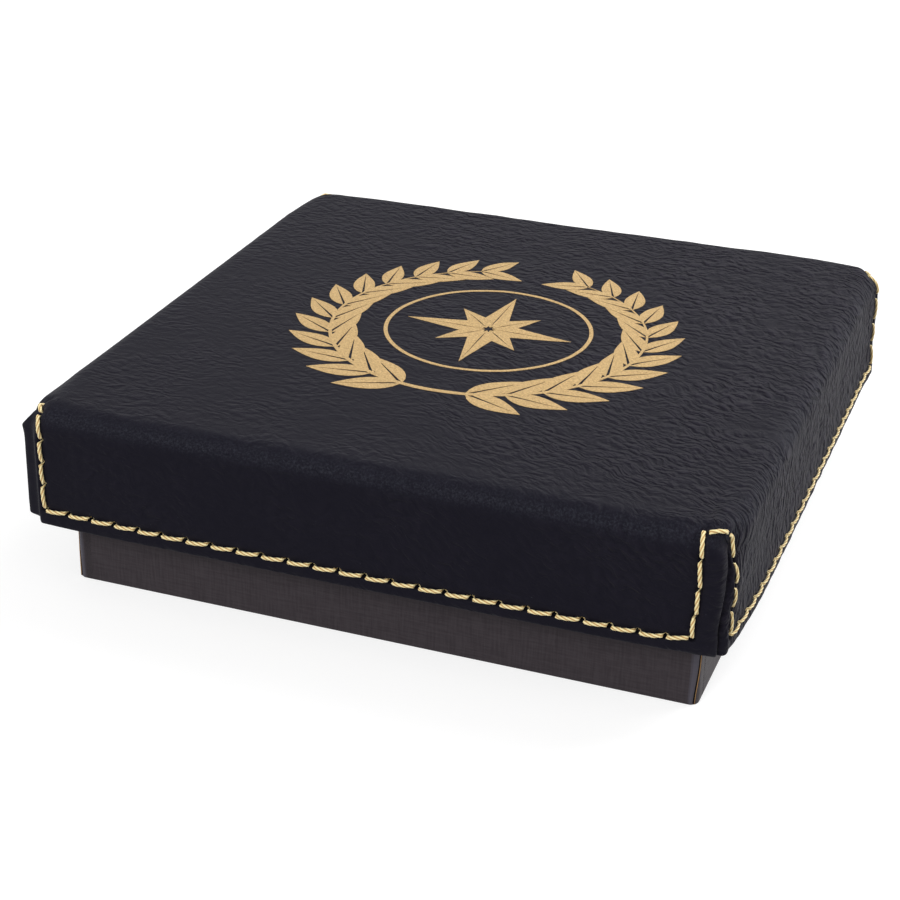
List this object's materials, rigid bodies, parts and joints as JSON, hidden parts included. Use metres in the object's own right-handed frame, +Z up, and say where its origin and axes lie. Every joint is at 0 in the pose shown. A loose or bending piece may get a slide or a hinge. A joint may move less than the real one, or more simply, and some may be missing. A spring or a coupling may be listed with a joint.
{
  "type": "medal box",
  "caption": "Square two-piece presentation box with a stitched leatherette lift-off lid, a linen-paper tray and a velour-faced foam insert with a round well for one medal.",
  "frame": {"origin": "middle of the underside of the base, on the surface that the box stands on", "axes": "+Z up through the lid; the front of the box faces -Y, +X is to the right seen from the front"},
  "size_m": [0.1024, 0.1024, 0.0286],
  "materials": {
    "leatherette": "matt black leatherette with a fine creased grain",
    "thread": "twisted golden-yellow sewing thread",
    "greyboard": "bare greyboard",
    "linen_paper": "dark brown-black paper with a linen emboss",
    "lining_paper": "plain black paper",
    "stay_tape": "brown gummed paper tape",
    "foam": "black soft foam",
    "velour": "short-pile black velour"
  },
  "bodies": {
    "base": {"base_wrap": "linen_paper", "base_tray": "greyboard", "base_corner_stay_front_right": "stay_tape", "base_corner_stay_back_right": "stay_tape", "base_corner_stay_back_left": "stay_tape", "base_corner_stay_front_left": "stay_tape", "base_floor_paper": "lining_paper", "insert_lower_foam": "foam", "insert_upper_foam": "foam", "insert_facing": "velour", "well_floor_pad": "velour"},
    "lid": {"leatherette_cover": "leatherette", "cover_thread": "thread", "flap_card_front": "greyboard", "flap_card_right": "greyboard", "flap_card_back": "greyboard", "flap_card_left": "greyboard", "lid_tray": "greyboard", "lid_corner_stay_front_right": "stay_tape", "lid_corner_stay_back_right": "stay_tape", "lid_corner_stay_back_left": "stay_tape", "lid_corner_stay_front_left": "stay_tape", "lid_lining": "lining_paper"}
  },
  "joints": [
    {"name": "lid_lift", "type": "slide", "parent": "base", "child": "lid", "axis": [0, 0, 1], "range_m": [0, 0.06]}
  ]
}
